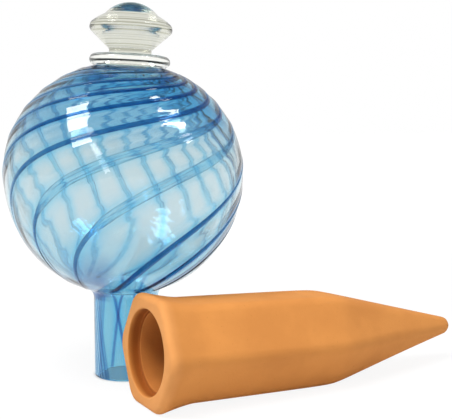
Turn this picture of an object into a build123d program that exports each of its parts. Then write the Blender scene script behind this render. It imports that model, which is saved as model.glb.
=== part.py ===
from build123d import *
import math
import os

# Watering globe: a blown glass globe with spiral blue canes, standing on its neck,
# and the hollow terracotta stake that it waters through, lying beside it.
# Millimetres and degrees. The origin is the centre of the neck's rim on the floor,
# +Z runs up the globe's axis and +X runs along the stake, from its mouth to its point.

# Bulb and neck, blown in one
bulb_radius = 63.5
crown_height = 58.6          # from the widest ring up to the crown
belly_depth = 65.6           # from the widest ring down to where the round would close
glass_wall = 2.4
neck_radius = 17.3
neck_length = 42.5           # straight part, from the rim up to the blend
neck_blend = 6.0             # hollow round between neck and belly
rim_round = 0.7              # fire-polished edges of the rim

# Blue canes laid on the bulb by hand, so unevenly, and twisted with it about an axis that leans
cane_bearings = (-154, -178, 161, 140, 119, 98, 76, 54, 33, 13, -6, -24, -39, -61, -99, -129)
cane_width = 2.4             # at the foot, on the bulb
cane_top = 1.2
cane_rise = 0.6
cane_turn = 1.09             # degrees round for each degree of climb
cane_turn_growth = 0.0108    # how the twist tightens on the way up
cane_sections = 28
cane_collar_gap = 0.6        # bare glass left between the collar and a cane's end
swirl_lean = 17.8
swirl_bearing = -26.4
swirl_pole_gap = 9.0         # degrees kept clear round both ends of the leaning axis
fused_gap = 0.05             # between glass pieces that are melted together

# Finial, set slightly off the crown and square to the glass there
finial_offset = 3.4
finial_bearing = -29.0
collar_radius = 21.3
collar_thickness = 6.2
collar_sink = 2.6            # how far the collar hugs down round the crown
stem_radius = 11.2
knob_height = 27.5
knob_radius = 21.8
knob_waist_height = 2.6      # where the stem opens into the cone
knob_rim_height = 14.0       # widest ring of the knob above its foot
knob_rim_round = 2.5         # half the height of the rounded rim
knob_rim_inset = 1.0         # how far the rim's rounding stands out from the slopes
button_radius = 14.1         # domed button on top of the knob
button_height = 6.6
shoulder_crown = 0.3         # how far the slope under the button bulges

# Bore of the terracotta stake
neck_play = 1.9              # room between the glass neck and the bore
ledge_width = 1.8            # step from the mouth's recess down to the bore
recess_depth = 6.0
mouth_edge = 0.8             # rounding of the mouth's inner edge
point_solid = 30.5           # solid clay left at the point
point_wall = 7.2             # clay round the bore's end, at the flats of the shoulder

# Outside of the stake: a hexagon with flats at top and bottom
stake_length = 191.2
clay_wall = 4.85             # at the flats of the waist
flare_rise = 4.6             # how far the mouth's corners stand out from the waist
flare_length = 21.0
flare_power = 1.4            # 1 is a straight flare, more is a hollow one
shoulder_at = 103.3
body_taper = 0.55            # corner radius lost from waist to shoulder
shoulder_softness = 1.4
nose_radius = 4.6
nose_round = 4.2
lip_round = 4.2              # rounding of the mouth's outer edge
ridge_share = 0.28           # rounding of the long edges, over the distance to the flats
mouth_ridge_share = 0.38
nose_ridge_share = 0.8

# Where the stake lies beside the globe
lying_gap = 11.4             # between the neck and the nearest corner of the mouth
mouth_x = -16.3

flat_share = math.cos(math.pi / 6)   # distance to a flat over distance to a corner
bore_radius = neck_radius + neck_play
recess_radius = bore_radius + ledge_width
waist_radius = (bore_radius + clay_wall) / flat_share
mouth_radius = waist_radius + flare_rise
shoulder_radius = waist_radius - body_taper
bore_end_radius = shoulder_radius * flat_share - point_wall


def blend_angle(inset):
    """Angle below the widest ring, in radians, at which the belly runs into the neck's blend."""
    a, b = bulb_radius - inset, belly_depth - inset
    round_off = neck_blend + inset
    target = neck_radius - inset + round_off
    low, high = 0.0, math.pi / 2
    for _ in range(60):
        t = (low + high) / 2
        nx, nz = b * math.cos(t), a * math.sin(t)
        reach = a * math.cos(t) + round_off * nx / math.hypot(nx, nz)
        if reach > target:
            low = t
        else:
            high = t
    return t


def blend_drop(inset):
    """How far the centre of the neck's blend lies below the widest ring."""
    a, b = bulb_radius - inset, belly_depth - inset
    t = blend_angle(inset)
    nx, nz = b * math.cos(t), a * math.sin(t)
    return b * math.sin(t) + (neck_blend + inset) * nz / math.hypot(nx, nz)


widest_height = neck_length + blend_drop(0)
crown_top = widest_height + crown_height


def quarter_round(radius, height):
    """Adds a quarter ellipse from the widest ring up to the crown."""
    corner = (radius, widest_height + height)
    Bezier((radius, widest_height), corner, (0, widest_height + height), weights=(1, math.sqrt(0.5), 1))


def bulb_outline(inset):
    """Adds the half outline of neck and bulb, the inset inside the outer skin, to the open line."""
    a, down = bulb_radius - inset, belly_depth - inset
    neck = neck_radius - inset
    round_off = neck_blend + inset
    t = blend_angle(inset)
    meet = (a * math.cos(t), widest_height - down * math.sin(t))
    centre = (neck + round_off, widest_height - blend_drop(inset))
    half = (math.pi + math.atan2(meet[1] - centre[1], meet[0] - centre[0])) / 2
    middle = (centre[0] + round_off * math.cos(half), centre[1] + round_off * math.sin(half))
    below = (a, widest_height - down * math.tan(t / 2))
    Line((neck, 0), (neck, centre[1]))
    ThreePointArc((neck, centre[1]), middle, meet)
    Bezier(meet, below, (a, widest_height), weights=(1, math.cos(t / 2), 1))
    quarter_round(a, crown_height - inset)


def globe_shell():
    """Blown bulb with an even wall, open at the neck's rim."""
    with BuildPart() as shell:
        with BuildSketch(Plane.XZ):
            with BuildLine():
                bulb_outline(0)
                bulb_outline(glass_wall)
                Line((0, crown_top - glass_wall), (0, crown_top))
                Line((neck_radius - glass_wall, 0), (neck_radius, 0))
            make_face()
        revolve(axis=Axis.Z)
        fillet(shell.edges().filter_by(GeomType.CIRCLE).group_by(Axis.Z)[0], rim_round)
    return shell.part


def crown_form(lift):
    """Upper half of the bulb turned solid, lifted off the outer skin by the given amount."""
    with BuildPart() as turned:
        with BuildSketch(Plane.XZ):
            with BuildLine():
                quarter_round(bulb_radius + lift, crown_height + lift)
                Polyline((0, crown_top + lift), (0, widest_height), (bulb_radius + lift, widest_height))
            make_face()
        revolve(axis=Axis.Z)
    return turned.part


def direction(climb, bearing):
    """Unit vector at an angle of climb and a bearing, both in degrees."""
    up, turn = math.radians(climb), math.radians(bearing)
    return Vector(math.cos(up) * math.cos(turn), math.cos(up) * math.sin(turn), math.sin(up))


def skin_point(way):
    """Point on the bulb and its outward normal, for a direction on the round it is drawn out from."""
    height = crown_height if way.Z > 0 else belly_depth
    point = Vector(bulb_radius * way.X, bulb_radius * way.Y, widest_height + height * way.Z)
    normal = Vector(way.X / bulb_radius, way.Y / bulb_radius, way.Z / height)
    return point, normal.normalized()


def leaning_plane(foot, axis):
    """Plane square to a leaning axis, with its X in the part's XZ plane."""
    return Plane(foot, x_dir=Vector(0, 1, 0).cross(axis), z_dir=axis)


finial_climb = math.degrees(math.acos(finial_offset / bulb_radius))
finial_foot, finial_axis = skin_point(direction(finial_climb, finial_bearing))
finial_plane = leaning_plane(finial_foot, finial_axis)
swirl_plane = leaning_plane(Vector(0, 0, 0), direction(90 - swirl_lean, swirl_bearing))


def cane_point(start_bearing, climb):
    """Point and normal on one cane's path, at an angle of climb about the leaning axis."""
    bearing = start_bearing + cane_turn * climb + cane_turn_growth * climb ** 2
    return skin_point(swirl_plane.from_local_coords(direction(climb, bearing)))


def cane_room(point):
    """Whether a cane may run through a point: above the neck's blend and clear of the collar."""
    if point.Z < widest_height:
        return point.Z > widest_height - belly_depth * math.sin(blend_angle(0))
    local = finial_plane.to_local_coords(point)
    return math.hypot(local.X, local.Y) > collar_radius + cane_collar_gap + cane_width / 2


def cane_end(start_bearing, step):
    """Angle of climb at which a cane stops, found in steps up or down from its middle."""
    climb = 0.0
    while abs(climb + step) <= 90 - swirl_pole_gap:
        point, _ = cane_point(start_bearing, climb + step)
        if not cane_room(point):
            break
        climb += step
    return climb


def cane_seat(start_bearing, climb):
    """Plane square across a cane: X across it, Y out of the glass, its origin on the bulb."""
    nudge = 0.05
    point, normal = cane_point(start_bearing, climb)
    ahead, _ = cane_point(start_bearing, climb + nudge)
    behind, _ = cane_point(start_bearing, climb - nudge)
    along = ahead - behind
    along = along - normal * along.dot(normal)
    return Plane(point + normal * fused_gap, x_dir=normal.cross(along), z_dir=along)


def blue_cane(start_bearing):
    """One flat bead of blue glass lofted along its spiral, from the neck's blend up to the collar."""
    quarter_degree = 0.25
    foot = cane_end(start_bearing, -quarter_degree)
    head = cane_end(start_bearing, quarter_degree)
    sections = []
    for step in range(cane_sections):
        climb = foot + (head - foot) * step / (cane_sections - 1)
        with BuildSketch(cane_seat(start_bearing, climb)) as bead:
            with BuildLine():
                Polyline((-cane_width / 2, 0), (cane_width / 2, 0), (cane_top / 2, cane_rise),
                         (-cane_top / 2, cane_rise), close=True)
            make_face()
        sections.append(bead.sketch.face())
    return loft(sections)


def finial_collar():
    """Round-edged glass disc, hollowed underneath to the shape of the crown."""
    rim = collar_thickness / 2
    flat = collar_radius - rim
    with BuildPart() as disc:
        with BuildSketch(Plane.XZ):
            with BuildLine():
                Polyline((flat, 0), (0, 0), (0, collar_thickness), (flat, collar_thickness))
                ThreePointArc((flat, collar_thickness), (collar_radius, rim), (flat, 0))
            make_face()
        revolve(axis=Axis.Z)
    seated = finial_plane.offset(-collar_sink).location * disc.part
    return seated - crown_form(fused_gap)


def finial_knob():
    """Turned knob: stem, cone, rounded rim, sloping shoulder and a domed button."""
    slope_radius = knob_radius - knob_rim_inset
    rim_low, rim_high = knob_rim_height - knob_rim_round, knob_rim_height + knob_rim_round
    button_foot = knob_height - button_height
    dome = (button_radius ** 2 + button_height ** 2) / (2 * button_height)
    dome_drop = dome - math.sqrt(dome ** 2 - (button_radius / 2) ** 2)
    slope = Vector(button_radius - slope_radius, button_foot - rim_high).normalized()
    slope_middle = Vector((slope_radius + button_radius) / 2, (rim_high + button_foot) / 2)
    bulge = slope_middle + Vector(slope.Y, -slope.X) * shoulder_crown
    with BuildPart() as turned:
        with BuildSketch(Plane.XZ):
            with BuildLine():
                Polyline((0, knob_height), (0, 0), (stem_radius, 0),
                         (stem_radius, knob_waist_height), (slope_radius, rim_low))
                ThreePointArc((slope_radius, rim_low), (knob_radius, knob_rim_height),
                              (slope_radius, rim_high))
                ThreePointArc((slope_radius, rim_high), bulge, (button_radius, button_foot))
                ThreePointArc((button_radius, button_foot), (button_radius / 2, knob_height - dome_drop),
                              (0, knob_height))
            make_face()
        revolve(axis=Axis.Z)
    return finial_plane.offset(collar_thickness - collar_sink).location * turned.part


def stake_corner(at):
    """Corner radius of the stake's hexagon at a distance from its mouth."""
    along_body = (at - flare_length) / (shoulder_at - flare_length)
    along_point = (stake_length - at) / (stake_length - shoulder_at)
    body = waist_radius + (shoulder_radius - waist_radius) * along_body
    point = nose_radius + (shoulder_radius - nose_radius) * along_point
    corner = (body + point - math.hypot(body - point, shoulder_softness)) / 2
    return corner + flare_rise * max(1 - at / flare_length, 0) ** flare_power


def stake_section(at, corner):
    """Hexagon across the stake, its corners rounded a little more at the mouth and most at the nose."""
    to_mouth = max(1 - at / flare_length, 0)
    to_nose = max((at - shoulder_at) / (stake_length - shoulder_at), 0)
    share = ridge_share + (mouth_ridge_share - ridge_share) * to_mouth
    share += (nose_ridge_share - ridge_share) * to_nose
    with BuildSketch(Plane((at, 0, 0), x_dir=(0, 1, 0), z_dir=(1, 0, 0))) as hexagon:
        RegularPolygon(corner, 6)
        fillet(hexagon.vertices(), share * corner * flat_share)
    return hexagon.sketch.face()


def stake_stations():
    """Places along the stake, each with its corner radius: close together where the outline curves."""
    stations = []
    for turn in (0, 24, 44, 64, 90):
        angle = math.radians(turn)
        at = lip_round * (1 - math.cos(angle))
        stations.append((at, stake_corner(at) - lip_round * (1 - math.sin(angle))))
    places = [lip_round + (flare_length - lip_round) * step / 5 for step in (1, 2, 3, 4, 5)]
    places.append((flare_length + shoulder_at) / 2)
    places += [shoulder_at + shoulder_softness * step for step in (-12, -6, -3, 0, 3, 6, 12)]
    places.append((shoulder_at + stake_length) / 2)
    stations += [(at, stake_corner(at)) for at in places]
    for turn in (90, 60, 35, 15):
        angle = math.radians(turn)
        at = stake_length - nose_round * (1 - math.cos(angle))
        stations.append((at, stake_corner(at) - nose_round * (1 - math.sin(angle))))
    return stations


def stake_bore():
    """Recess, ledge, tapering bore and pointed end, as one turned solid along the stake."""
    bore_point = stake_length - point_solid
    with BuildPart() as turned:
        with BuildSketch(Plane.XY):
            with BuildLine():
                Polyline((mouth_edge, recess_radius), (recess_depth, recess_radius),
                         (recess_depth, bore_radius), (shoulder_at, bore_end_radius),
                         (bore_point, 0), (0, 0), (0, recess_radius + mouth_edge))
                RadiusArc((0, recess_radius + mouth_edge), (mouth_edge, recess_radius), -mouth_edge)
            make_face()
        revolve(axis=Axis.X)
    return turned.part


def stake():
    """Flared hexagonal stake, hollow to near its point, lying on its lip and its shoulder."""
    stations = stake_stations()
    body = loft([stake_section(at, corner) for at, corner in stations], ruled=True) - stake_bore()
    flats = [(at, corner * flat_share) for at, corner in stations]
    lip_at, lip_flat = max(flats, key=lambda station: station[1])
    lean = min(math.atan2(lip_flat - flat, at - lip_at) for at, flat in flats if at > flare_length)
    mouth_height = lip_flat * math.cos(lean) + lip_at * math.sin(lean)
    mouth_y = -(neck_radius + lying_gap + mouth_radius)
    return Pos(mouth_x, mouth_y, mouth_height) * Rot(0, math.degrees(lean), 0) * body


nodes = {
    "globe_shell": globe_shell(),
    "finial_collar": finial_collar(),
    "finial_knob": finial_knob(),
    "stake": stake(),
}
for number, bearing in enumerate(cane_bearings, 1):
    nodes[f"blue_cane_{number}"] = blue_cane(bearing)

os.makedirs("parts", exist_ok=True)
for name, solid in nodes.items():
    export_step(solid, f"parts/{name}.step")
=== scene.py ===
import math

import bpy
from mathutils import Matrix, Vector


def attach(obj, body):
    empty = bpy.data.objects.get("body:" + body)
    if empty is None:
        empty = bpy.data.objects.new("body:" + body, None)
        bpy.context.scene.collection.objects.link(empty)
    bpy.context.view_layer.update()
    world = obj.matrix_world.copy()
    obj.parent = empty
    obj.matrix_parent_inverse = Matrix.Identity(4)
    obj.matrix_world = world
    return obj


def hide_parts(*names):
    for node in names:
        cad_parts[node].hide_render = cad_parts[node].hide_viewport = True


# Watering globe: a blown glass globe standing on its neck, and its terracotta stake lying beside it.
# Metres and degrees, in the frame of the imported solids: the origin is the centre of the neck's rim,
# +Z runs up the globe's axis and +X runs along the stake, from its mouth to its point.
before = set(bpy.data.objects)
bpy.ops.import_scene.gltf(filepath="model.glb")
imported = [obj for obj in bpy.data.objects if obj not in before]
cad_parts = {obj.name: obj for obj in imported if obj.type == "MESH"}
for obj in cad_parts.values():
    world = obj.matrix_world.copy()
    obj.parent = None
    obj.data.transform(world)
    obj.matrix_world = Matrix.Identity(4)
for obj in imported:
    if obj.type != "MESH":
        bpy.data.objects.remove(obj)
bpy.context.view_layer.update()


# Bulb and neck: one gather of clear glass, blown to a bulb and drawn out into the neck.
# The blue canes bled into it while it was hot, and left pale bands that follow them down to the neck.
# The neck's rim was cut and fire-polished, and the inner wall waves a little, as blown glass does.
bulb_radius = 0.0635
crown_height = 0.0586
belly_depth = 0.0656
glass_wall = 0.0024
neck_radius = 0.0173
neck_length = 0.0425
neck_blend = 0.006
rim_round = 0.0007
bulb_steps_round = 192
wall_waves = 0.00022
wave_size = 0.022
cane_bearings = (-154, -178, 161, 140, 119, 98, 76, 54, 33, 13, -6, -24, -39, -61, -99, -129)
cane_turn = 1.09
cane_turn_growth = 0.0108
swirl_lean = 17.8
swirl_bearing = -26.4
swirl_pole_gap = 9.0
cane_width = 0.0024
cane_collar_gap = 0.0006
finial_offset = 0.0034
finial_bearing = -29.0
collar_radius = 0.0213
neck_turn = -600.0
end_step = 0.25
lie_squeeze = 600.0
photo_bearing = -112.8


def blend_angle(inset):
    """Angle below the widest ring at which the belly runs into the neck's hollow round."""
    a, b = bulb_radius - inset, belly_depth - inset
    hollow = neck_blend + inset
    low, high = 0.0, math.pi / 2
    for _ in range(60):
        t = (low + high) / 2
        nx, nz = b * math.cos(t), a * math.sin(t)
        if a * math.cos(t) + hollow * nx / math.hypot(nx, nz) > neck_radius - inset + hollow:
            low = t
        else:
            high = t
    return t


def blend_drop(inset):
    """How far the centre of the neck's hollow round lies below the widest ring."""
    a, b = bulb_radius - inset, belly_depth - inset
    t = blend_angle(inset)
    nx, nz = b * math.cos(t), a * math.sin(t)
    return b * math.sin(t) + (neck_blend + inset) * nz / math.hypot(nx, nz)


def direction(climb, bearing):
    """Unit vector at an angle of climb and a bearing, both in degrees."""
    up, turn = math.radians(climb), math.radians(bearing)
    return Vector((math.cos(up) * math.cos(turn), math.cos(up) * math.sin(turn), math.sin(up)))


widest_height = neck_length + blend_drop(0)
blend_top = widest_height - belly_depth * math.sin(blend_angle(0))
swirl_axis = direction(90 - swirl_lean, swirl_bearing)
swirl_x = Vector((0, 1, 0)).cross(swirl_axis).normalized()
swirl_y = swirl_axis.cross(swirl_x)


def skin_point(way):
    """Point on the bulb and its outward normal, for a direction on the round it is drawn out from."""
    reach = crown_height if way.z > 0 else belly_depth
    point = Vector((bulb_radius * way.x, bulb_radius * way.y, widest_height + reach * way.z))
    return point, Vector((way.x / bulb_radius, way.y / bulb_radius, way.z / reach)).normalized()


def cane_point(start_bearing, climb):
    """Point and normal on a cane's path, at an angle of climb about the leaning axis."""
    local = direction(climb, start_bearing + cane_turn * climb + cane_turn_growth * climb ** 2)
    return skin_point(swirl_x * local.x + swirl_y * local.y + swirl_axis * local.z)


finial_climb = math.degrees(math.acos(finial_offset / bulb_radius))
finial_foot, finial_axis = skin_point(direction(finial_climb, finial_bearing))


def cane_end(start_bearing, step):
    """Angle of climb at which a cane stops: at the collar, at the neck, or near an end of its axis."""
    climb = 0.0
    while abs(climb + step) <= 90 - swirl_pole_gap:
        seat = cane_point(start_bearing, climb + step)[0]
        aside = (seat - finial_foot).cross(finial_axis).length
        if seat.z <= blend_top:
            break
        if seat.z > widest_height and aside <= collar_radius + cane_collar_gap + cane_width / 2:
            break
        climb += step
    return climb


def wall_outline(inset):
    """Half outline of one skin of the bulb, from the crown to just above the rim, as (radius, height)."""
    a, up, down = bulb_radius - inset, crown_height - inset, belly_depth - inset
    hollow = neck_blend + inset
    meet = blend_angle(inset)
    outline = []
    for step in range(64):
        t = math.pi / 2 * step / 64
        outline.append((a * math.sin(t), widest_height + up * math.cos(t)))
    for step in range(56):
        t = meet * step / 56
        outline.append((a * math.cos(t), widest_height - down * math.sin(t)))
    centre = (neck_radius - inset + hollow, widest_height - blend_drop(inset))
    first = math.atan2(widest_height - down * math.sin(meet) - centre[1], a * math.cos(meet) - centre[0])
    for step in range(13):
        t = first + (math.pi - first) * step / 12
        outline.append((centre[0] + hollow * math.cos(t), centre[1] + hollow * math.sin(t)))
    for step in range(1, 13):
        outline.append((neck_radius - inset, centre[1] + (rim_round - centre[1]) * step / 12))
    return outline


def rim_outline():
    """Polished edge of the neck, from the outer skin round to the inner one."""
    outline = []
    for step in range(1, 6):
        t = math.pi / 2 * step / 6
        outline.append((neck_radius - rim_round * (1 - math.cos(t)), rim_round * (1 - math.sin(t))))
    inner = neck_radius - glass_wall
    for step in range(1, 6):
        t = math.pi / 2 * (1 - step / 6)
        outline.append((inner + rim_round * (1 - math.cos(t)), rim_round * (1 - math.sin(t))))
    return outline


def add(tree, kind, feeds=(), **settings):
    """A new node: the settings are its own, and the feeds go to its inputs by place or by name."""
    node = tree.nodes.new(kind)
    for name, value in settings.items():
        setattr(node, name, value)
    for place, value in feeds.items() if isinstance(feeds, dict) else enumerate(feeds):
        if isinstance(value, bpy.types.NodeSocket):
            tree.links.new(value, node.inputs[place])
        else:
            node.inputs[place].default_value = value
    return node


def calc(tree, operation, *terms):
    """What a maths node makes of its terms."""
    return add(tree, "ShaderNodeMath", terms, operation=operation).outputs[0]


def count(tree, operation, *terms):
    """What a whole-number node makes of its terms."""
    return add(tree, "FunctionNodeIntegerMath", terms, operation=operation).outputs[0]


def vector(tree, operation, *terms):
    """What a vector node makes of its terms."""
    node = add(tree, "ShaderNodeVectorMath", terms, operation=operation)
    return node.outputs["Value" if operation in ("DOT_PRODUCT", "LENGTH") else "Vector"]


def scaled(tree, arrow, factor):
    """An arrow made longer or shorter."""
    return add(tree, "ShaderNodeVectorMath", {0: arrow, "Scale": factor}, operation="SCALE").outputs["Vector"]


def noise(tree, place, scale, detail):
    """Soft noise at a place."""
    return add(tree, "ShaderNodeTexNoise", {"Vector": place, "Scale": scale, "Detail": detail}).outputs[0]


def ramp_between(tree, value, low, high):
    """0 where the value is at low, 1 where it is at high, and smooth between them."""
    return add(tree, "ShaderNodeMapRange", {"Value": value, "From Min": low, "From Max": high},
               interpolation_type="SMOOTHSTEP").outputs["Result"]


def tree_with(name, kind, takes, gives):
    """An empty node tree with its named sockets."""
    tree = bpy.data.node_groups.new(name, kind)
    for label, sort in takes:
        tree.interface.new_socket(label, in_out="INPUT", socket_type="NodeSocket" + sort)
    for label, sort in gives:
        tree.interface.new_socket(label, in_out="OUTPUT", socket_type="NodeSocket" + sort)
    return tree, tree.nodes.new("NodeGroupInput").outputs, tree.nodes.new("NodeGroupOutput").inputs


def ring_sheet(tree, stations, steps):
    """A sheet with a ring of points for each station, and the station and the angle round of every point."""
    rings = add(tree, "GeometryNodeAttributeDomainSize", {"Geometry": stations}).outputs["Point Count"]
    columns = count(tree, "ADD", steps, 1)
    sheet = add(tree, "GeometryNodeMeshGrid", {"Vertices X": columns, "Vertices Y": rings}).outputs["Mesh"]
    index = add(tree, "GeometryNodeInputIndex").outputs[0]
    turn_share = calc(tree, "DIVIDE", count(tree, "DIVIDE_FLOOR", index, rings), steps)
    return sheet, count(tree, "MODULO", index, rings), calc(tree, "MULTIPLY", turn_share, 2 * math.pi)


def keep(tree, shape, label, value):
    """The shape with a value kept on its points under a name."""
    return add(tree, "GeometryNodeStoreNamedAttribute", {"Geometry": shape, "Name": label, "Value": value},
               data_type="FLOAT").outputs[0]


def finished(tree, shape, finish):
    """The last steps of a piece's tree: smooth shading, plain geometry and its material."""
    smooth = add(tree, "GeometryNodeSetShadeSmooth", {"Geometry": shape}).outputs[0]
    real = add(tree, "GeometryNodeRealizeInstances", {"Geometry": smooth}).outputs[0]
    return add(tree, "GeometryNodeSetMaterial", {"Geometry": real, "Material": finish}).outputs[0]


def spun_outline_tree():
    """Turns an outline about Z into a closed wall: its points become rings, and its ends become poles."""
    tree, take, give = tree_with(
        "spun_outline", "GeometryNodeTree",
        (("Outline", "Geometry"), ("Steps Round", "Int"), ("Inner From", "Int"), ("Wall Waves", "Float"),
         ("Wave Size", "Float"), ("Finish", "Material")),
        (("Wall", "Geometry"),))
    sheet, row, angle = ring_sheet(tree, take["Outline"], take["Steps Round"])
    place = add(tree, "GeometryNodeInputPosition").outputs[0]
    on_outline = add(tree, "GeometryNodeSampleIndex", {"Geometry": take["Outline"], "Index": row},
                     data_type="FLOAT_VECTOR")
    tree.links.new(place, on_outline.inputs["Value"])
    turned = add(tree, "ShaderNodeVectorRotate", {"Vector": on_outline.outputs["Value"], "Angle": angle},
                 rotation_type="Z_AXIS").outputs[0]
    spun = add(tree, "GeometryNodeSetPosition", {"Geometry": sheet, "Position": turned}).outputs[0]
    marked = keep(tree, spun, "inner_wall", calc(tree, "GREATER_THAN", row, take["Inner From"]))
    closed = add(tree, "GeometryNodeMergeByDistance", {"Geometry": marked, "Distance": 1e-6}).outputs[0]
    stored = add(tree, "GeometryNodeInputNamedAttribute", {"Name": "inner_wall"},
                 data_type="FLOAT").outputs[0]
    ripple = noise(tree, place, calc(tree, "DIVIDE", 1.0, take["Wave Size"]), 1.0)
    swell = calc(tree, "MULTIPLY", calc(tree, "SUBTRACT", ripple, 0.5), take["Wall Waves"])
    swell = calc(tree, "MULTIPLY", calc(tree, "MULTIPLY", swell, 2.0), stored)
    push = scaled(tree, add(tree, "GeometryNodeInputNormal").outputs[0], swell)
    waved = add(tree, "GeometryNodeSetPosition", {"Geometry": closed, "Offset": push}).outputs[0]
    tree.links.new(finished(tree, waved, take["Finish"]), give["Wall"])
    return tree


def grown(name, points, tree, sizes, marks=()):
    """A piece grown by a node tree from a row of points: the result is a plain mesh, facing outwards."""
    row = bpy.data.meshes.new(name)
    row.from_pydata(points, [(n, n + 1) for n in range(len(points) - 1)], [])
    for label, sort, values in marks:
        mark = row.attributes.new(label, sort, "POINT")
        field = "vector" if sort == "FLOAT_VECTOR" else "value"
        flat = [x for value in values for x in value] if sort == "FLOAT_VECTOR" else list(values)
        mark.data.foreach_set(field, flat)
    piece = bpy.data.objects.new(name, row)
    bpy.context.scene.collection.objects.link(piece)
    grower = piece.modifiers.new(tree.name, "NODES")
    grower.node_group = tree
    sockets = {s.name: s.identifier for s in tree.interface.items_tree if s.in_out == "INPUT"}
    for label, value in sizes.items():
        grower[sockets[label]] = value
    evaluated = bpy.context.evaluated_depsgraph_get()
    mesh = bpy.data.meshes.new_from_object(piece.evaluated_get(evaluated), preserve_all_data_layers=True,
                                           depsgraph=evaluated)
    piece.modifiers.clear()
    piece.data = mesh
    mesh.name = name
    bpy.data.meshes.remove(row)
    return face_outwards(piece)


def face_outwards(piece):
    """Turns the faces round if the closed mesh holds a negative volume."""
    mesh = piece.data
    mesh.calc_loop_triangles()
    co = [v.co for v in mesh.vertices]
    held = sum(co[a].dot(co[b].cross(co[c])) for a, b, c in (t.vertices for t in mesh.loop_triangles))
    if held < 0:
        mesh.flip_normals()
    return piece


def off_nearest(tree, turn_share, bearings):
    """Degrees from a share of a full turn to the nearest of some bearings."""
    stops = sorted(b % 360 for b in bearings)
    seam = (stops[0] + 360 - stops[-1]) / 2
    marks = [(b / 360, 0.0) for b in stops]
    marks += [((a + b) / 720, (b - a) / 2) for a, b in zip(stops, stops[1:])]
    marks += [(0.0, min(stops[0], 360 - stops[-1])), (1.0, min(stops[0], 360 - stops[-1]))]
    marks.append((((stops[0] + stops[-1] + 360) / 2 % 360) / 360, seam))
    marks.sort()
    middle = len(marks) // 2
    halves = []
    for part in (marks[:middle + 1], marks[middle:]):
        ramp = add(tree, "ShaderNodeValToRGB", {"Fac": turn_share})
        for _ in part[2:]:
            ramp.color_ramp.elements.new(0.5)
        for stop, (place, off) in zip(ramp.color_ramp.elements, part):
            stop.position = place
            stop.color = (off / 180, off / 180, off / 180, 1)
        halves.append(ramp.outputs["Color"])
    later = calc(tree, "GREATER_THAN", turn_share, marks[middle][0])
    off = calc(tree, "MULTIPLY_ADD", later, calc(tree, "SUBTRACT", halves[1], halves[0]), halves[0])
    return calc(tree, "MULTIPLY", off, 180.0)


def cane_twist_group():
    """Where a point of the globe lies in the leaning twist: degrees round to the nearest cane and, on the
    neck, to the nearest line, degrees of climb up the globe and about the leaning axis, and a place in
    which everything runs along the twist."""
    tree, take, give = tree_with(
        "cane_twist", "ShaderNodeTree", (("Place", "Vector"),),
        (("Off Cane", "Float"), ("Off Line", "Float"), ("Climb", "Float"), ("Swirl Climb", "Float"),
         ("Lie", "Vector")))
    x, y, z = add(tree, "ShaderNodeSeparateXYZ", {0: take["Place"]}).outputs
    lift = calc(tree, "SUBTRACT", z, widest_height)
    above = calc(tree, "GREATER_THAN", lift, 0.0)
    half_height = calc(tree, "MULTIPLY_ADD", above, crown_height - belly_depth, belly_depth)
    rise = calc(tree, "DIVIDE", lift, half_height)
    reach = calc(tree, "SQRT", calc(tree, "MULTIPLY_ADD", x, x, calc(tree, "MULTIPLY", y, y)))
    climb = calc(tree, "ARCTAN2", rise, calc(tree, "DIVIDE", reach, bulb_radius))
    down_neck = calc(tree, "MAXIMUM", calc(tree, "SUBTRACT", blend_top, z), 0.0)
    bearing = calc(tree, "MULTIPLY_ADD", down_neck, math.radians(neck_turn), calc(tree, "ARCTAN2", y, x))
    on_bulb = calc(tree, "MAXIMUM", climb, -blend_angle(0))
    level = calc(tree, "COSINE", on_bulb)
    way = add(tree, "ShaderNodeCombineXYZ", (
        calc(tree, "MULTIPLY", level, calc(tree, "COSINE", bearing)),
        calc(tree, "MULTIPLY", level, calc(tree, "SINE", bearing)), calc(tree, "SINE", on_bulb))).outputs[0]
    along = [vector(tree, "DOT_PRODUCT", way, axis) for axis in (swirl_x, swirl_y, swirl_axis)]
    swirl_climb = calc(tree, "MINIMUM", calc(tree, "MAXIMUM", along[2], -0.9999), 0.9999)
    swirl_climb = calc(tree, "DEGREES", calc(tree, "ARCSINE", swirl_climb))
    turned = calc(tree, "DEGREES", calc(tree, "ARCTAN2", along[1], along[0]))
    turn_rate = calc(tree, "MULTIPLY_ADD", swirl_climb, cane_turn_growth, cane_turn)
    untwisted = calc(tree, "SUBTRACT", turned, calc(tree, "MULTIPLY", turn_rate, swirl_climb))
    turn_share = calc(tree, "FRACT", calc(tree, "DIVIDE", untwisted, 360.0))
    tree.links.new(off_nearest(tree, turn_share, cane_bearings), give["Off Cane"])
    feet = [cane_point(b, cane_end(b, -end_step))[0] for b in cane_bearings]
    neck_share = calc(tree, "FRACT", calc(tree, "DIVIDE", bearing, 2 * math.pi))
    lines = [math.degrees(math.atan2(foot.y, foot.x)) for foot in feet]
    tree.links.new(off_nearest(tree, neck_share, lines), give["Off Line"])
    turn = calc(tree, "MULTIPLY", turn_share, 2 * math.pi)
    lie = add(tree, "ShaderNodeCombineXYZ", (calc(tree, "COSINE", turn), calc(tree, "SINE", turn),
                                             calc(tree, "DIVIDE", swirl_climb, lie_squeeze))).outputs[0]
    tree.links.new(lie, give["Lie"])
    tree.links.new(calc(tree, "DEGREES", climb), give["Climb"])
    tree.links.new(swirl_climb, give["Swirl Climb"])
    return tree


def new_finish(name):
    """A material with its shader and output only."""
    finish = bpy.data.materials.new(name)
    finish.use_nodes = True
    tree = finish.node_tree
    return finish, tree, tree.nodes["Principled BSDF"]


def mixed(tree, share, first, second, blend="MIX"):
    """One colour running into another, or laid over it."""
    return add(tree, "ShaderNodeMix", {0: share, 6: first, 7: second}, data_type="RGBA", blend_type=blend,
               clamp_factor=True).outputs[2]


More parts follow.
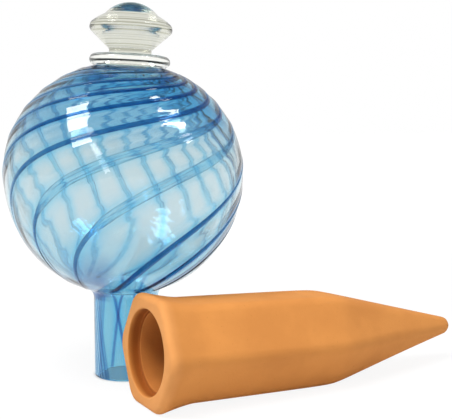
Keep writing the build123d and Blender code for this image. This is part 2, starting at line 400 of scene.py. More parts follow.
def as_glass(shader, roughness, ior):
    """Lets the light right through, tinted by the colour."""
    shader.inputs["Transmission Weight"].default_value = 1.0
    shader.inputs["Roughness"].default_value = roughness
    shader.inputs["IOR"].default_value = ior


spun_outline = spun_outline_tree()
cane_twist = cane_twist_group()

blown_glass, tree, shader = new_finish("blown_glass_with_blue_bands")
place = add(tree, "ShaderNodeTexCoord").outputs["Object"]
twist = add(tree, "ShaderNodeGroup", {"Place": place}, node_tree=cane_twist)
climb = twist.outputs["Climb"]
height = add(tree, "ShaderNodeSeparateXYZ", {0: place}).outputs[2]
wisps = noise(tree, twist.outputs["Lie"], 34.0, 3.0)
drift = calc(tree, "MULTIPLY_ADD", wisps, 4.0, -2.0)
showing = vector(tree, "DOT_PRODUCT", place, direction(0, photo_bearing))
narrow = calc(tree, "MULTIPLY_ADD", ramp_between(tree, showing, 0.02, -0.02), 0.6, 0.85)
off_band = calc(tree, "ADD", calc(tree, "MULTIPLY", twist.outputs["Off Cane"], narrow), drift)
band = ramp_between(tree, off_band, 5.8, 2.0)
halo = calc(tree, "MULTIPLY", ramp_between(tree, off_band, 11.0, 3.0), ramp_between(tree, climb, 30.0, 10.0))
neck = ramp_between(tree, height, 0.053, 0.043)
neck_line = calc(tree, "MULTIPLY", ramp_between(tree, twist.outputs["Off Line"], 3.6, 1.2), neck)
gather = vector(tree, "DOT_PRODUCT", place, direction(0, swirl_bearing + 180))
near_neck = calc(tree, "MULTIPLY", ramp_between(tree, height, 0.062, 0.046),
                 ramp_between(tree, height, 0.0415, 0.0435))
gather = calc(tree, "MULTIPLY", ramp_between(tree, gather, 0.004, 0.017), near_neck)
aside = vector(tree, "SUBTRACT", place, finial_foot)
aside = vector(tree, "LENGTH", vector(tree, "CROSS_PRODUCT", aside, finial_axis))
upper = ramp_between(tree, climb, 20.0, 40.0)
by_collar = ramp_between(tree, aside, collar_radius + 0.0065, collar_radius + 0.002)
by_collar = calc(tree, "MULTIPLY", by_collar, upper)
under_collar = calc(tree, "MULTIPLY", ramp_between(tree, aside, collar_radius, collar_radius - 0.003), upper)
open_crown = calc(tree, "SUBTRACT", 1.0, under_collar)
streaked = calc(tree, "MULTIPLY_ADD", ramp_between(tree, wisps, 0.34, 0.66), 0.95, 0.3)
streaked = calc(tree, "MULTIPLY", band, streaked)
tint = mixed(tree, halo, (0.74, 0.83, 0.855, 1), (0.60, 0.79, 0.87, 1))
tint = mixed(tree, streaked, tint, (0.42, 0.745, 0.885, 1))
upper_veil = calc(tree, "MULTIPLY", ramp_between(tree, climb, 8.0, 32.0), open_crown)
crown_veil = calc(tree, "MULTIPLY", ramp_between(tree, twist.outputs["Swirl Climb"], 36.0, 50.0), open_crown)
on_bulb = calc(tree, "SUBTRACT", 1.0, neck)
belly_veil = calc(tree, "MULTIPLY", ramp_between(tree, climb, -22.0, -46.0), on_bulb)
for share, veil in ((upper_veil, (0.60, 0.81, 0.94, 1)),
                    (belly_veil, (0.76, 0.90, 0.96, 1)),
                    (crown_veil, (0.50, 0.82, 0.95, 1)),
                    (calc(tree, "MULTIPLY", by_collar, open_crown), (0.07, 0.20, 0.48, 1)),
                    (neck, (0.57, 0.85, 0.96, 1)),
                    (gather, (0.07, 0.29, 0.58, 1)),
                    (neck_line, (0.10, 0.32, 0.58, 1))):
    tint = mixed(tree, share, tint, veil, "MULTIPLY")
tree.links.new(tint, shader.inputs["Base Color"])
inside = add(tree, "ShaderNodeAttribute", attribute_name="inner_wall").outputs["Fac"]
swell = calc(tree, "MULTIPLY", ramp_between(tree, twist.outputs["Off Cane"], 1.0, 9.0), 0.4)
swell = calc(tree, "MULTIPLY_ADD", wisps, 0.03, swell)
aslant = add(tree, "ShaderNodeLayerWeight", {"Blend": 0.5}).outputs["Facing"]
outer_bulb = calc(tree, "SUBTRACT", 1.0, calc(tree, "MAXIMUM", inside, neck))
outer_bulb = calc(tree, "MULTIPLY", outer_bulb, ramp_between(tree, climb, -48.0, -18.0))
facing = calc(tree, "MULTIPLY", ramp_between(tree, aslant, 0.62, 0.32), outer_bulb)
waves = add(tree, "ShaderNodeBump", {"Strength": facing, "Distance": 0.001, "Height": swell}).outputs[0]
tree.links.new(waves, shader.inputs["Normal"])
as_glass(shader, 0.0, 1.5)

outer, inner = wall_outline(0), wall_outline(glass_wall)
bulb_outline = outer + rim_outline() + inner[::-1]
globe = grown("blown_globe", [(r, 0, z) for r, z in bulb_outline], spun_outline,
              {"Steps Round": bulb_steps_round, "Inner From": len(outer) + 10, "Wall Waves": wall_waves,
               "Wave Size": wave_size, "Finish": blown_glass})
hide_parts("globe_shell")
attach(globe, "globe_body")


# Canes: sixteen threads of cobalt glass, laid by hand on the hot gather and twisted with it about a leaning
# axis. A thread is a narrow dark bead where it ran thick, and a pale ribbon where it was pulled thin.
# They are melted to the bulb along their whole length, from the neck's hollow round up to the collar.
cane_rise = 0.0003
broad_ribbon = 0.0058
slim_ribbon = 0.0034
ribbon_rise = 0.0002
ribbon_ridges = 0.45
cane_sink = 0.00006
cane_stations = 170
cane_sides = 28
end_taper = 0.03
foot_swell = {-24: 0.5, -39: 1.4, -61: 0.8}
foot_shrink = -0.3
cane_fullness = {
    -154: ((20, 1.0), (60, 0.9), (96, 0.9), (112, 0.45), (161, 0.45)),
    -178: ((20, 1.0), (62, 0.95), (90, 0.8), (108, 0.3), (161, 0.5)),
    161: ((20, 1.0), (55, 0.9), (80, 0.5), (100, 0.15), (161, 0.3)),
    140: ((20, 1.0), (50, 0.8), (75, 0.3), (95, 0.08), (161, 0.3)),
    -24: ((20, 0.7), (42, 0.6), (62, 0.25), (85, 0.3), (112, 0.85), (161, 0.9)),
    -39: ((20, 1.0), (55, 0.5), (85, 0.95), (161, 1.0)),
    -61: ((20, 1.0), (55, 0.5), (85, 0.95), (161, 1.0)),
    -99: ((20, 1.0), (55, 0.5), (72, 0.75), (84, 0.2), (106, 0.12), (114, 0.8), (161, 0.9)),
    -129: ((20, 1.0), (60, 0.9), (70, 0.4), (84, 0.12), (98, 0.2), (107, 0.9), (128, 0.9), (161, 0.5)),
}
thin_fullness = ((20, 0.7), (42, 0.6), (62, 0.25), (78, 0.06), (135, 0.06), (161, 0.4))


def fullness_at(lay, fall):
    """How thick the thread ran at that fall, from a pale ribbon at 0 to a dark bead at 1."""
    for (a, full_a), (b, full_b) in zip(lay, lay[1:]):
        if fall <= b:
            share = (fall - a) / (b - a)
            share = share * share * (3 - 2 * share)
            return full_a + (full_b - full_a) * share
    return lay[-1][1]


def laid_cane_tree():
    """Grows a low bead along a row of stations on the bulb, wide and flat where the fullness is small."""
    tree, take, give = tree_with(
        "laid_cane", "GeometryNodeTree",
        (("Stations", "Geometry"), ("Sides", "Int"), ("Bead Width", "Float"), ("Bead Rise", "Float"),
         ("Ribbon Width", "Float"), ("Ribbon Rise", "Float"), ("Ribbon Ridges", "Float"), ("Sink", "Float"),
         ("Finish", "Material")),
        (("Cane", "Geometry"),))
    sheet, row, angle = ring_sheet(tree, take["Stations"], take["Sides"])

    def at_station(value, sort):
        """A station's value, for every point of its ring."""
        node = add(tree, "GeometryNodeSampleIndex", {"Geometry": take["Stations"], "Index": row},
                   data_type=sort)
        tree.links.new(value, node.inputs["Value"])
        return node.outputs["Value"]

    def stored(label, sort):
        """A mark that was put on the stations."""
        mark = add(tree, "GeometryNodeInputNamedAttribute", {"Name": label}, data_type=sort)
        return at_station(mark.outputs["Attribute"], sort)

    seat = at_station(add(tree, "GeometryNodeInputPosition").outputs[0], "FLOAT_VECTOR")
    out, across = stored("out", "FLOAT_VECTOR"), stored("across", "FLOAT_VECTOR")
    fullness, taper = stored("fullness", "FLOAT"), stored("taper", "FLOAT")
    thinness = calc(tree, "SUBTRACT", 1.0, fullness)
    width = calc(tree, "MULTIPLY", thinness, take["Ribbon Width"])
    width = calc(tree, "MULTIPLY_ADD", fullness, take["Bead Width"], width)
    rise = calc(tree, "MULTIPLY", thinness, take["Ribbon Rise"])
    rise = calc(tree, "MULTIPLY_ADD", fullness, take["Bead Rise"], rise)
    half = calc(tree, "MULTIPLY", calc(tree, "MULTIPLY", width, 0.5), taper)
    across_share = calc(tree, "COSINE", angle)
    aside = calc(tree, "MULTIPLY", across_share, half)
    dome = calc(tree, "POWER", calc(tree, "MAXIMUM", calc(tree, "SINE", angle), 0.0), 4.0)
    ridges = calc(tree, "COSINE", calc(tree, "MULTIPLY", across_share, 3 * math.pi))
    ridges = calc(tree, "MULTIPLY", calc(tree, "MULTIPLY", ridges, thinness), take["Ribbon Ridges"])
    dome = calc(tree, "MULTIPLY", dome, calc(tree, "ADD", ridges, 1.0))
    lift = calc(tree, "MULTIPLY", calc(tree, "MULTIPLY", dome, rise), calc(tree, "MINIMUM", taper, 2.0))
    lift = calc(tree, "SUBTRACT", lift, take["Sink"])
    fall_away = calc(tree, "MULTIPLY", calc(tree, "MULTIPLY", aside, aside), 0.5 / bulb_radius)
    lift = calc(tree, "SUBTRACT", lift, fall_away)
    offset = vector(tree, "ADD", scaled(tree, out, lift), scaled(tree, across, aside))
    spot = vector(tree, "ADD", seat, offset)
    shaped = add(tree, "GeometryNodeSetPosition", {"Geometry": sheet, "Position": spot}).outputs[0]
    marked = keep(tree, shaped, "fullness", fullness)
    marked = keep(tree, marked, "edge", calc(tree, "ABSOLUTE", across_share))
    closed = add(tree, "GeometryNodeMergeByDistance", {"Geometry": marked, "Distance": 1e-6}).outputs[0]
    tree.links.new(finished(tree, closed, take["Finish"]), give["Cane"])
    return tree


laid_cane = laid_cane_tree()

cobalt_glass, tree, shader = new_finish("cobalt_cane_glass")
place = add(tree, "ShaderNodeTexCoord").outputs["Object"]
fullness = add(tree, "ShaderNodeAttribute", attribute_name="fullness").outputs["Fac"]
clouds = noise(tree, place, 130.0, 2.0)
dark = calc(tree, "SUBTRACT", calc(tree, "POWER", fullness, 1.5), 0.15)
dark = calc(tree, "MULTIPLY_ADD", clouds, 0.3, dark)
edge = add(tree, "ShaderNodeAttribute", attribute_name="edge").outputs["Fac"]
edge_line = calc(tree, "MULTIPLY", ramp_between(tree, edge, 0.70, 0.86), ramp_between(tree, edge, 1.0, 0.90))
thinness = calc(tree, "SUBTRACT", 1.0, fullness)
dark = calc(tree, "MULTIPLY_ADD", edge_line, calc(tree, "MULTIPLY", thinness, 0.12), dark)
twist = add(tree, "ShaderNodeGroup", {"Place": place}, node_tree=cane_twist)
streaks = noise(tree, twist.outputs["Lie"], 75.0, 2.0)
streaks = calc(tree, "MULTIPLY", ramp_between(tree, streaks, 0.46, 0.68), thinness)
dark = calc(tree, "MULTIPLY_ADD", streaks, 0.45, dark)
aslant = add(tree, "ShaderNodeLayerWeight", {"Blend": 0.5}).outputs["Facing"]
dark = calc(tree, "MULTIPLY", dark, ramp_between(tree, aslant, 1.25, 0.42))
tint = mixed(tree, dark, (0.84, 0.94, 0.97, 1), (0.022, 0.20, 0.43, 1))
tree.links.new(tint, shader.inputs["Base Color"])
as_glass(shader, 0.0, 1.25)

for number, bearing in enumerate(cane_bearings, 1):
    head, foot = cane_end(bearing, end_step), cane_end(bearing, -end_step)
    points, outs, sides, fulls, tapers = [], [], [], [], []
    for step in range(cane_stations):
        share = step / (cane_stations - 1)
        climb = head + (foot - head) * share
        seat, out = cane_point(bearing, climb)
        along = cane_point(bearing, climb - 0.05)[0] - cane_point(bearing, climb + 0.05)[0]
        lift = (seat.z - widest_height) / (crown_height if seat.z > widest_height else belly_depth)
        points.append(seat)
        outs.append(out)
        sides.append(out.cross(along).normalized())
        lay = cane_fullness.get(bearing, thin_fullness)
        fulls.append(fullness_at(lay, math.degrees(math.acos(lift))))
        end = min(share, 1 - share) / end_taper
        thick = 1 + foot_swell.get(bearing, foot_shrink) * min(max((-lift - 0.1) / 0.6, 0), 1)
        tapers.append(thick * math.sqrt(max(1 - (1 - min(end, 1)) ** 2, 0)))
    cane = grown(f"cobalt_cane_{number}", points, laid_cane,
                 {"Sides": cane_sides, "Bead Width": cane_width, "Bead Rise": cane_rise,
                  "Ribbon Width": broad_ribbon if bearing in cane_fullness else slim_ribbon,
                  "Ribbon Rise": ribbon_rise, "Ribbon Ridges": ribbon_ridges,
                  "Sink": cane_sink, "Finish": cobalt_glass},
                 (("out", "FLOAT_VECTOR", outs), ("across", "FLOAT_VECTOR", sides),
                  ("fullness", "FLOAT", fulls), ("taper", "FLOAT", tapers)))
    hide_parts(f"blue_cane_{number}")
    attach(cane, "globe_body")


# Collar: a disc of clear glass with a round edge, pressed hot onto the crown of the bulb.
# It hugs the crown underneath, slightly off the axis, and is melted on. The canes stop short of its edge.
collar_thickness = 0.0062
collar_sink = 0.0026
melt = 0.0001
finial_steps_round = 128
collar_corner = collar_radius - collar_thickness / 2

clear_glass, tree, shader = new_finish("clear_finial_glass")
place = add(tree, "ShaderNodeTexCoord").outputs["Object"]
up = vector(tree, "DOT_PRODUCT", vector(tree, "SUBTRACT", place, finial_foot), finial_axis)
cords = add(tree, "ShaderNodeTexNoise", {"W": calc(tree, "MULTIPLY", up, 900.0), "Scale": 1.0, "Detail": 2.0},
            noise_dimensions="1D").outputs["Fac"]
near_side = calc(tree, "SUBTRACT", 1.0, add(tree, "ShaderNodeNewGeometry").outputs["Backfacing"])
on_knob = ramp_between(tree, up, 0.0034, 0.0042)
ring = calc(tree, "MULTIPLY", ramp_between(tree, cords, 0.50, 0.64), near_side)
tint = mixed(tree, on_knob, (0.985, 0.985, 0.96, 1), (0.76, 0.765, 0.70, 1))
tint = mixed(tree, calc(tree, "MULTIPLY", ring, on_knob), tint, (0.42, 0.42, 0.32, 1))
for line, breadth in ((0.0058, 0.0009), (0.0186, 0.0005), (0.0204, 0.0005)):
    off_line = calc(tree, "ABSOLUTE", calc(tree, "SUBTRACT", up, line))
    line_share = calc(tree, "MULTIPLY", ramp_between(tree, off_line, breadth, 0.4 * breadth), near_side)
    tint = mixed(tree, line_share, tint, (0.30, 0.30, 0.23, 1))
# Painted blue on the domed button of clear glass, standing in for the globe's blue seen through it.
button = calc(tree, "MULTIPLY", ramp_between(tree, up, 0.0262, 0.0270), near_side)
tint = mixed(tree, button, tint, (0.15, 0.29, 0.38, 1))
tree.links.new(tint, shader.inputs["Base Color"])
rings = add(tree, "ShaderNodeBump", {"Strength": 0.6, "Distance": 0.00012, "Height": cords}).outputs[0]
tree.links.new(rings, shader.inputs["Normal"])
grey = add(tree, "ShaderNodeVolumeAbsorption", {"Color": (0.6, 0.6, 0.3, 1), "Density": 2.0}).outputs[0]
tree.links.new(grey, tree.nodes["Material Output"].inputs["Volume"])
as_glass(shader, 0.07, 1.28)

crown_bend = bulb_radius ** 2 / crown_height
hug = math.sqrt(crown_bend ** 2 - (crown_bend - collar_sink - melt) ** 2)
collar_outline = [(0, collar_thickness)]
collar_outline += [(collar_corner * n / 12, collar_thickness) for n in range(1, 12)]
for step in range(25):
    t = math.pi / 2 - math.pi * step / 24
    collar_outline.append((collar_corner + collar_thickness / 2 * math.cos(t),
                           collar_thickness / 2 * (1 + math.sin(t))))
for step in range(17):
    r = hug * (1 - step / 16)
    rise = collar_sink - melt - (crown_bend - math.sqrt(crown_bend ** 2 - r ** 2))
    collar_outline.append((r, max(rise, 0)))


def set_on_crown(piece, lift):
    """Moves a piece's mesh onto the crown, square to the glass there."""
    turn = Vector((0, 0, 1)).rotation_difference(finial_axis).to_matrix().to_4x4()
    piece.data.transform(Matrix.Translation(finial_foot + finial_axis * lift) @ turn)
    return piece


no_inner_wall = 1000
plain_wall = {"Steps Round": finial_steps_round, "Inner From": no_inner_wall, "Wall Waves": 0.0,
              "Wave Size": 1.0, "Finish": clear_glass}
collar = grown("clear_collar", [(r, 0, z) for r, z in collar_outline], spun_outline, plain_wall)
set_on_crown(collar, -collar_sink)
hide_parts("finial_collar")
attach(collar, "globe_body")


# Knob: solid clear glass, worked to a stem, a cone, a round rim, a sloping shoulder and a domed button.
# It is melted to the collar by its stem, and fine rings from turning it in the tool run round it.
stem_radius = 0.0112
knob_height = 0.0275
knob_radius = 0.0218
knob_waist_height = 0.0026
knob_rim_height = 0.014
knob_rim_round = 0.0025
knob_rim_inset = 0.001
button_radius = 0.0141
button_height = 0.0066
shoulder_crown = 0.0003


def arc_through(first, middle, last, steps):
    """Points along the circle through three points, without the first one."""
    (ax, ay), (bx, by), (cx, cy) = first, middle, last
    d = 2 * (ax * (by - cy) + bx * (cy - ay) + cx * (ay - by))
    a2, b2, c2 = ax * ax + ay * ay, bx * bx + by * by, cx * cx + cy * cy
    ox = (a2 * (by - cy) + b2 * (cy - ay) + c2 * (ay - by)) / d
    oy = (a2 * (cx - bx) + b2 * (ax - cx) + c2 * (bx - ax)) / d
    radius = math.hypot(ax - ox, ay - oy)
    from_angle = math.atan2(ay - oy, ax - ox)
    to_angle = math.atan2(cy - oy, cx - ox)
    if to_angle - from_angle > math.pi:
        to_angle -= 2 * math.pi
    if from_angle - to_angle > math.pi:
        to_angle += 2 * math.pi
    angles = [from_angle + (to_angle - from_angle) * n / steps for n in range(1, steps + 1)]
    return [(ox + radius * math.cos(t), oy + radius * math.sin(t)) for t in angles]


def run(first, last, steps):
    """Points along a straight line, without the first one."""
    return [(first[0] + (last[0] - first[0]) * n / steps, first[1] + (last[1] - first[1]) * n / steps)
            for n in range(1, steps + 1)]


slope_radius = knob_radius - knob_rim_inset
rim_low, rim_high = knob_rim_height - knob_rim_round, knob_rim_height + knob_rim_round
button_foot = knob_height - button_height
dome = (button_radius ** 2 + button_height ** 2) / (2 * button_height)
dome_drop = dome - math.sqrt(dome ** 2 - (button_radius / 2) ** 2)
slope = Vector((button_radius - slope_radius, button_foot - rim_high)).normalized()
bulge = ((slope_radius + button_radius) / 2 + slope.y * shoulder_crown,
         (rim_high + button_foot) / 2 - slope.x * shoulder_crown)
knob_outline = [(0.0, -melt)]
knob_outline += run((0, -melt), (stem_radius, -melt), 8)
knob_outline += run((stem_radius, -melt), (stem_radius, knob_waist_height), 5)
knob_outline += run((stem_radius, knob_waist_height), (slope_radius, rim_low), 14)
knob_outline += arc_through((slope_radius, rim_low), (knob_radius, knob_rim_height),
                            (slope_radius, rim_high), 22)
knob_outline += arc_through((slope_radius, rim_high), bulge, (button_radius, button_foot), 12)
knob_outline += arc_through((button_radius, button_foot), (button_radius / 2, knob_height - dome_drop),
                            (0, knob_height), 28)
knob = grown("clear_knob", [(r, 0, z) for r, z in knob_outline], spun_outline, plain_wall)
set_on_crown(knob, collar_thickness - collar_sink)
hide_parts("finial_knob")
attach(knob, "globe_body")


# Stake: unglazed terracotta, slip-cast in a plaster mould and fired, a hexagon that flares at its mouth.
# The mouth has a shallow recess with a ledge that the globe's neck hangs in, and a bore that tapers
# to near the point. It lies on its lip and its shoulder, with its nose down.
bore_radius = 0.0192
recess_radius = 0.021
recess_depth = 0.006
mouth_edge = 0.0008
point_solid = 0.0305
point_wall = 0.0072
stake_length = 0.1912
clay_wall = 0.00485
flare_rise = 0.0046
flare_length = 0.021
flare_power = 1.4
shoulder_at = 0.1033
body_taper = 0.00055
shoulder_softness = 0.0014
nose_radius = 0.0046
nose_round = 0.0042
lip_round = 0.0042
ridge_share = 0.28
mouth_ridge_share = 0.38
nose_ridge_share = 0.8
lying_gap = 0.0114
mouth_x = -0.0163
shoulder_zone = 0.02
lip_wear_and_light_depth = 0.007
flat_share = math.cos(math.pi / 6)
waist_radius = (bore_radius + clay_wall) / flat_share
shoulder_radius = waist_radius - body_taper
bore_end_radius = shoulder_radius * flat_share - point_wall


def stake_corner(at):
    """Corner radius of the hexagon at a distance from the mouth."""
    body_share = (at - flare_length) / (shoulder_at - flare_length)
    point_share = (stake_length - at) / (stake_length - shoulder_at)
    body = waist_radius + (shoulder_radius - waist_radius) * body_share
    point = nose_radius + (shoulder_radius - nose_radius) * point_share
    corner = (body + point - math.hypot(body - point, shoulder_softness)) / 2
    return corner + flare_rise * max(1 - at / flare_length, 0) ** flare_power


def hexagon_reach(at, corner, off_corner):
    """Distance from the axis to the rounded hexagon, at an angle off its nearest corner."""
    to_mouth = max(1 - at / flare_length, 0)
    to_nose = max((at - shoulder_at) / (stake_length - shoulder_at), 0)
    share = ridge_share + (mouth_ridge_share - ridge_share) * to_mouth
    share += (nose_ridge_share - ridge_share) * to_nose
    flat = corner * flat_share
    ridge = share * flat
    centre = (flat - ridge) / flat_share
    off = abs(off_corner)
    if off < math.atan2(ridge / 2, centre + ridge * flat_share):
        return centre * math.cos(off) + math.sqrt(ridge ** 2 - (centre * math.sin(off)) ** 2)
    return flat / math.cos(math.pi / 6 - off)


off_corners = (-30, -26, -22, -18.5, -15.5, -13, -11, -9.4, -8.2, -7, -5.4, -3.6, -1.8,
               0, 1.8, 3.6, 5.4, 7, 8.2, 9.4, 11, 13, 15.5, 18.5, 22, 26)
ring_angles = [(60 * side, off) for side in range(6) for off in off_corners]
rings = []
outside = []
for a in (6, 18, 32, 47, 62, 76, 90):
    at = stake_length - nose_round * (1 - math.cos(math.radians(a)))
    outside.append((at, stake_corner(at) - nose_round * (1 - math.sin(math.radians(a)))))
places = []
for first, last, steps in ((stake_length - nose_round, shoulder_at + shoulder_zone, 24),
                           (shoulder_at + shoulder_zone, shoulder_at - shoulder_zone, 40),
                           (shoulder_at - shoulder_zone, flare_length, 20),
                           (flare_length, lip_round, 24)):
    places += [first - (first - last) * n / steps for n in range(1, steps + 1)]
outside += [(at, stake_corner(at)) for at in places]
for a in (80, 70, 60, 50, 40, 30, 20, 10, 0):
    at = lip_round * (1 - math.cos(math.radians(a)))
    outside.append((at, stake_corner(at) - lip_round * (1 - math.sin(math.radians(a)))))
for at, corner in outside:
    rings.append([(at, hexagon_reach(at, corner, math.radians(off)), side + off)
                  for side, off in ring_angles])
inside = []
lip_inner = recess_radius + mouth_edge
for step in range(7):
    a = math.pi / 2 * step / 6
    inside.append((mouth_edge * (1 - math.cos(a)), lip_inner - mouth_edge * math.sin(a)))
inside += [(mouth_edge + (recess_depth - 0.0005 - mouth_edge) * n / 6, recess_radius)
           for n in range(1, 7)]
inside += [(recess_depth - 0.0002, recess_radius - 0.0002), (recess_depth, recess_radius - 0.0006)]
inside += [(recess_depth, recess_radius - 0.0012), (recess_depth, bore_radius + 0.0006),
           (recess_depth + 0.0002, bore_radius + 0.0002), (recess_depth + 0.0006, bore_radius)]
bore_point = stake_length - point_solid
inside += [(recess_depth + 0.0006 + (shoulder_at - recess_depth - 0.0006) * n / 16,
            bore_radius + (bore_end_radius - bore_radius) * n / 16) for n in range(1, 17)]
inside += [(shoulder_at + (bore_point - shoulder_at) * n / 12, bore_end_radius * (1 - n / 12))
           for n in range(1, 12)]
for at, radius in inside:
    rings.append([(at, radius, side + off) for side, off in ring_angles])

points = [(stake_length, 0, 0)]
for ring in rings:
    for at, reach, angle in ring:
        points.append((at, reach * math.cos(math.radians(angle)), reach * math.sin(math.radians(angle))))
points.append((bore_point, 0, 0))
per_ring, faces = len(ring_angles), []
for n in range(per_ring):
    after = (n + 1) % per_ring
    faces.append((0, 1 + after, 1 + n))
    for ring in range(len(rings) - 1):
        a, b = 1 + ring * per_ring, 1 + (ring + 1) * per_ring
        faces.append((a + n, a + after, b + after, b + n))
    last = 1 + (len(rings) - 1) * per_ring
    faces.append((last + n, last + after, len(points) - 1))
mesh = bpy.data.meshes.new("terracotta_stake")
mesh.from_pydata(points, [], faces)
painted_mouth_shade = [0.0] * (1 + len(outside) * per_ring)
# Paler at the mouth's end: partly rubbed clay, partly painted light on the lip.
lip_wear_and_light = [0.0]
for at, radius in outside + inside:
    lip_wear_and_light += [max(1 - at / lip_wear_and_light_depth, 0) if radius > recess_radius + 0.0002 else 0] * per_ring
lip_wear_and_light.append(0.0)
# Painted shade in the mouth: the clay darkens deeper into the recess and stays darker all through the bore,
# where little light gets in.
for at, radius in inside:
    in_recess = radius > bore_radius + 0.0004
    painted_mouth_shade += [min(at / recess_depth * 2, 1.0) if in_recess else 0.5] * per_ring
painted_mouth_shade.append(0.5)
mesh.attributes.new("painted_mouth_shade", "FLOAT", "POINT").data.foreach_set("value", painted_mouth_shade)
mesh.attributes.new("lip_wear_and_light", "FLOAT", "POINT").data.foreach_set("value", lip_wear_and_light)
mesh.shade_smooth()
stake = bpy.data.objects.new("terracotta_stake", mesh)
bpy.context.scene.collection.objects.link(stake)
face_outwards(stake)

flats = [(at, corner * flat_share) for at, corner in outside]
lip_at, lip_flat = max(flats, key=lambda station: station[1])
lean = min(math.atan2(lip_flat - flat, at - lip_at) for at, flat in flats if at > flare_length)
mouth_height = lip_flat * math.cos(lean) + lip_at * math.sin(lean)
mouth_y = -(neck_radius + lying_gap + waist_radius + flare_rise)
mesh.transform(Matrix.Translation((mouth_x, mouth_y, mouth_height)) @ Matrix.Rotation(lean, 4, "Y"))

terracotta, tree, shader = new_finish("fired_terracotta")
place = add(tree, "ShaderNodeTexCoord").outputs["Object"]
clouds, grains = noise(tree, place, 38.0, 4.0), noise(tree, place, 900.0, 3.0)
tint = mixed(tree, ramp_between(tree, clouds, 0.3, 0.7), (0.60, 0.230, 0.050, 1), (0.68, 0.272, 0.063, 1))
tint = mixed(tree, ramp_between(tree, grains, 0.64, 0.84), tint, (0.52, 0.185, 0.040, 1))
# Partly rubbed clay and partly painted light: the lip and the mouth's end are lighter, in blotches.
lip_wear_and_light = add(tree, "ShaderNodeAttribute", attribute_name="lip_wear_and_light").outputs["Fac"]
lip_wear_and_light = calc(tree, "MULTIPLY", lip_wear_and_light, calc(tree, "MULTIPLY_ADD", clouds, 0.6, 0.1))
tint = mixed(tree, lip_wear_and_light, tint, (0.84, 0.41, 0.155, 1))
# Painted shade: the recess and the bore are darkened, standing in for the light falling off inside.
painted_mouth_shade = add(tree, "ShaderNodeAttribute", attribute_name="painted_mouth_shade").outputs["Fac"]
tint = mixed(tree, painted_mouth_shade, tint, (0.50, 0.34, 0.16, 1), "MULTIPLY")
tree.links.new(tint, shader.inputs["Base Color"])
rough = calc(tree, "MULTIPLY_ADD", clouds, 0.12, 0.78)
tree.links.new(rough, shader.inputs["Roughness"])
pores = add(tree, "ShaderNodeBump", {"Strength": 0.25, "Distance": 0.0004, "Height": grains}).outputs[0]
tree.links.new(pores, shader.inputs["Normal"])
shader.inputs["Specular IOR Level"].default_value = 0.3
stake.data.materials.append(terracotta)
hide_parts("stake")
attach(stake, "stake_body")


# Floor: a white sheet under the object. Seen directly or through the glass, most of it is plain white.
# Near the object it also takes the light of the lamps, so that the object's shadow stays. Inside the neck's
# ring it is painted whiter, a painted pool of the light that the neck gathers.
floor_mesh = bpy.data.meshes.new("white_floor")
floor_mesh.from_pydata([(-6, -6, 0), (6, -6, 0), (6, 6, 0), (-6, 6, 0)], [], [(0, 1, 2, 3)])
floor = bpy.data.objects.new("white_floor", floor_mesh)
bpy.context.scene.collection.objects.link(floor)
white_sheet, tree, shader = new_finish("white_sheet")
shader.inputs["Roughness"].default_value = 0.9
shader.inputs["Specular IOR Level"].default_value = 0.0
path = add(tree, "ShaderNodeLightPath").outputs
seen = calc(tree, "MAXIMUM", path["Is Glossy Ray"], path["Is Transmission Ray"])
seen = calc(tree, "MAXIMUM", path["Is Camera Ray"], seen)
from_globe = vector(tree, "LENGTH", add(tree, "ShaderNodeTexCoord").outputs["Object"])
lit = ramp_between(tree, from_globe, 0.55, 0.2)
plain = add(tree, "ShaderNodeEmission", {"Color": (1, 1, 1, 1), "Strength": 1.04}).outputs[0]
# Painted pool of light: inside the neck's ring the floor is whiter and takes more of the lamps' light.
neck_light_pool = ramp_between(tree, from_globe, 0.019, 0.016)
tint = mixed(tree, neck_light_pool, (0.75, 0.75, 0.75, 1), (0.97, 0.97, 0.97, 1))
tree.links.new(tint, shader.inputs["Base Color"])
lit = calc(tree, "MULTIPLY_ADD", neck_light_pool, 0.8, calc(tree, "MULTIPLY", lit, 0.13))
share = calc(tree, "MULTIPLY", seen, calc(tree, "SUBTRACT", 1.0, lit))
surface = add(tree, "ShaderNodeMixShader", {0: share, 1: shader.outputs[0], 2: plain}).outputs[0]
tree.links.new(surface, tree.nodes["Material Output"].inputs["Surface"])
floor_mesh.materials.append(white_sheet)


# Studio: white all round, and dimmer overhead and in front for what the glass mirrors. A soft lamp over the
# left lights the clay and the floor, and two strips and a slit only show as highlights in the glass.
# Directions to the lamps are given as seen by the camera: to the right, away from it, and up.
world = bpy.data.worlds.new("white_studio")
bpy.context.scene.world = world
world.use_nodes = True
tree = world.node_tree
path = add(tree, "ShaderNodeLightPath").outputs
look = Vector((0.4855, 0.8686, -0.0998)).normalized()
way = add(tree, "ShaderNodeTexCoord").outputs["Generated"]
overhead = ramp_between(tree, add(tree, "ShaderNodeSeparateXYZ", {0: way}).outputs[2], 0.35, 0.85)
ahead = vector(tree, "DOT_PRODUCT", way, look)
mirrored = calc(tree, "MULTIPLY_ADD", ramp_between(tree, ahead, -0.4, 0.5), 0.45, 0.2)
mirrored = calc(tree, "MULTIPLY", mirrored, calc(tree, "MULTIPLY_ADD", overhead, -0.85, 1.0))
mirrored = calc(tree, "MULTIPLY", path["Is Glossy Ray"], mirrored)
seen = calc(tree, "MAXIMUM", path["Is Camera Ray"], path["Is Transmission Ray"])
tree.nodes["Background"].inputs["Color"].default_value = (1, 1, 1, 1)
shown = calc(tree, "MAXIMUM", seen, mirrored)
shown = calc(tree, "MAXIMUM", shown, calc(tree, "MULTIPLY", path["Is Diffuse Ray"], 0.6))
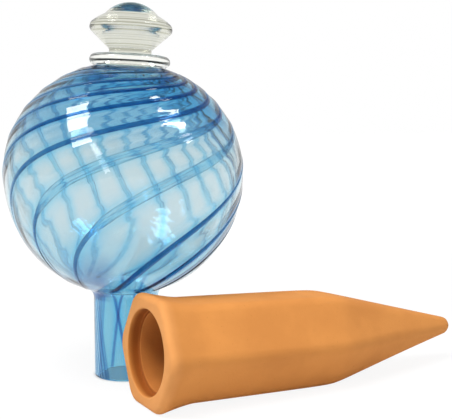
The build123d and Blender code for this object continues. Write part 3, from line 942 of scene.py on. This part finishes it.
tree.links.new(shown, tree.nodes["Background"].inputs["Strength"])

right = look.cross(Vector((0, 0, 1))).normalized()
away = Vector((0, 0, 1)).cross(right)
globe_centre = Vector((0, 0, widest_height))


def seen_from_camera(way):
    """A direction given as right, away and up, in the frame of the scene."""
    return (right * way[0] + away * way[1] + Vector((0, 0, way[2]))).normalized()


def soft_lamp(name, toward, along, distance, size, watts, in_glass):
    """A rectangular lamp that faces the globe, its long side along the second direction. It either shows in
    the glass or lights the rest."""
    lamp = bpy.data.lights.new(name, "AREA")
    lamp.shape = "RECTANGLE"
    lamp.size, lamp.size_y = size
    lamp.energy = watts
    holder = bpy.data.objects.new(name, lamp)
    bpy.context.scene.collection.objects.link(holder)
    toward, long_side = seen_from_camera(toward), seen_from_camera(along)
    long_side = (long_side - toward * long_side.dot(toward)).normalized()
    turn = Matrix((long_side.cross(toward), long_side, toward)).transposed()
    holder.location = globe_centre + toward * distance
    holder.rotation_euler = turn.to_euler()
    holder.visible_diffuse = not in_glass
    holder.visible_glossy = in_glass
    holder.visible_transmission = in_glass


soft_lamp("left_lamp", (-0.22, -0.38, 0.90), (0, 0, 1), 1.0, (0.5, 0.5), 11.5, False)
soft_lamp("left_strip", (-0.54, -0.32, 0.78), (-0.09, -0.73, -0.26), 0.9, (0.26, 0.52), 6.1, True)
soft_lamp("left_slit", (-0.30, -0.85, 0.43), (0.19, -0.26, -0.39), 0.9, (0.08, 0.46), 0.6, True)
soft_lamp("right_strip", (0.60, -0.16, 0.78), (0.7, 0.2, -0.7), 0.9, (0.16, 0.36), 3.2, True)

photo_width, focal_length = 452, 900
camera = bpy.data.cameras.new("photo_camera")
camera.sensor_width = 36.0
camera.lens = focal_length * camera.sensor_width / photo_width
viewer = bpy.data.objects.new("photo_camera", camera)
bpy.context.scene.collection.objects.link(viewer)
viewer.location = (-0.18784, -0.44743, 0.1383)
viewer.rotation_euler = look.to_track_quat("-Z", "Y").to_euler()
bpy.context.scene.camera = viewer
bpy.context.scene.view_settings.view_transform = "Standard"
